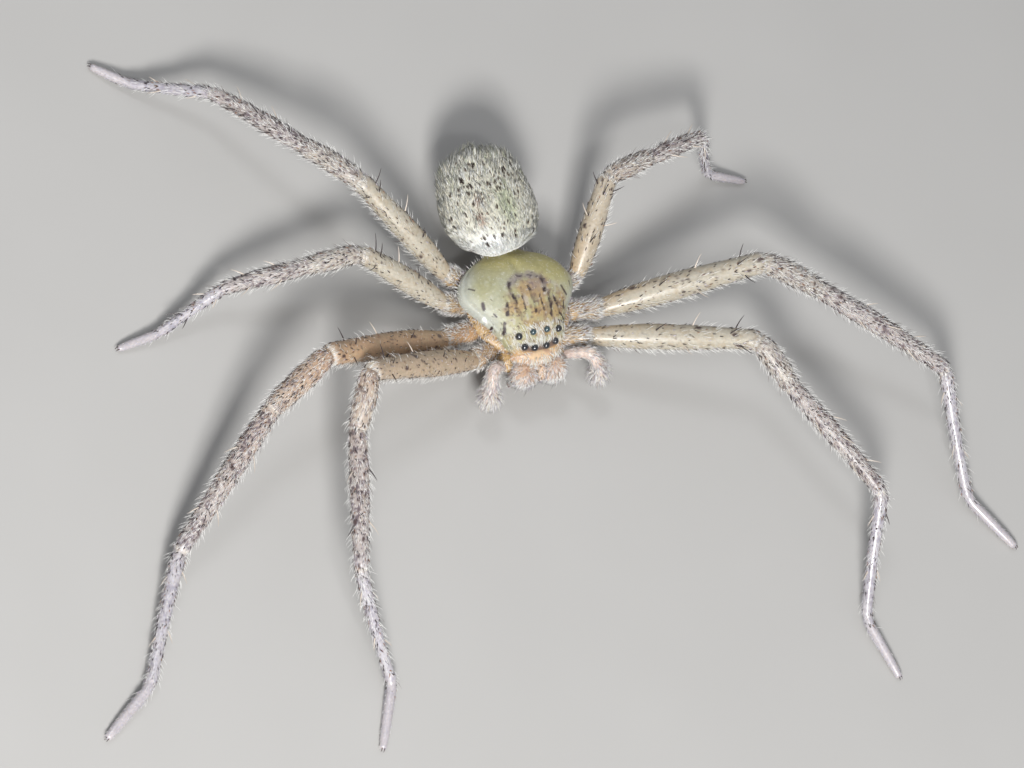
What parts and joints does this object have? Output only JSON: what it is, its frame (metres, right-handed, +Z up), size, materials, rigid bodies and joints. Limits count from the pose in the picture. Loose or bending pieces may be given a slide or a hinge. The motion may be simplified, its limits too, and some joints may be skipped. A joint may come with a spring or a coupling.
{
  "type": "huntsman spider",
  "caption": "Life-size still model of a pale huntsman spider standing with its legs spread flat like a crab's.",
  "frame": {"origin": "middle of the animal's box, on the floor that it stands on", "axes": "-Y ahead along the body towards the head, +X towards the animal's left side and along the widest spread of the legs, +Z up"},
  "size_m": [0.0872, 0.0666, 0.0118],
  "materials": {
    "carapace": "glossy, slightly translucent shell with fine hairs",
    "abdomen": "dense short cream-white hair",
    "leg": "short cream hair over straw-coloured shell with brown spots",
    "hip": "satin amber shell with fine hairs",
    "jaw": "peach-brown shell under pale hair",
    "fang": "glossy dark brown",
    "eye": "glossy black"
  },
  "bodies": {
    "root": {"abdomen": "abdomen", "cephalothorax": "carapace", "chelicera_left": "jaw", "chelicera_right": "jaw", "eye_front_middle_left": "eye", "eye_front_middle_right": "eye", "eye_front_side_left": "eye", "eye_front_side_right": "eye", "eye_rear_middle_left": "eye", "eye_rear_middle_right": "eye", "eye_rear_side_left": "eye", "eye_rear_side_right": "eye", "fang_left": "fang", "fang_right": "fang", "leg_left_1_coxa": "hip", "leg_left_1_femur": "leg", "leg_left_1_metatarsus": "leg", "leg_left_1_patella": "leg", "leg_left_1_tarsus": "leg", "leg_left_1_tibia": "leg", "leg_left_2_coxa": "hip", "leg_left_2_femur": "leg", "leg_left_2_metatarsus": "leg", "leg_left_2_patella": "leg", "leg_left_2_tarsus": "leg", "leg_left_2_tibia": "leg", "leg_left_3_coxa": "hip", "leg_left_3_femur": "leg", "leg_left_3_metatarsus": "leg", "leg_left_3_patella": "leg", "leg_left_3_tarsus": "leg", "leg_left_3_tibia": "leg", "leg_left_4_coxa": "hip", "leg_right_1_coxa": "hip", "leg_right_1_femur": "leg", "leg_right_1_metatarsus": "leg", "leg_right_1_patella": "leg", "leg_right_1_tarsus": "leg", "leg_right_1_tibia": "leg", "leg_right_2_coxa": "hip", "leg_right_2_femur": "leg", "leg_right_2_metatarsus": "leg", "leg_right_2_patella": "leg", "leg_right_2_tarsus": "leg", "leg_right_2_tibia": "leg", "leg_right_3_coxa": "hip", "leg_right_3_femur": "leg", "leg_right_3_metatarsus": "leg", "leg_right_3_patella": "leg", "leg_right_3_tarsus": "leg", "leg_right_3_tibia": "leg", "leg_right_4_coxa": "hip", "leg_right_4_femur": "leg", "leg_right_4_metatarsus": "leg", "leg_right_4_patella": "leg", "leg_right_4_tarsus": "leg", "leg_right_4_tibia": "leg", "palp_left": "leg", "palp_right": "leg"}
  },
  "joints": []
}
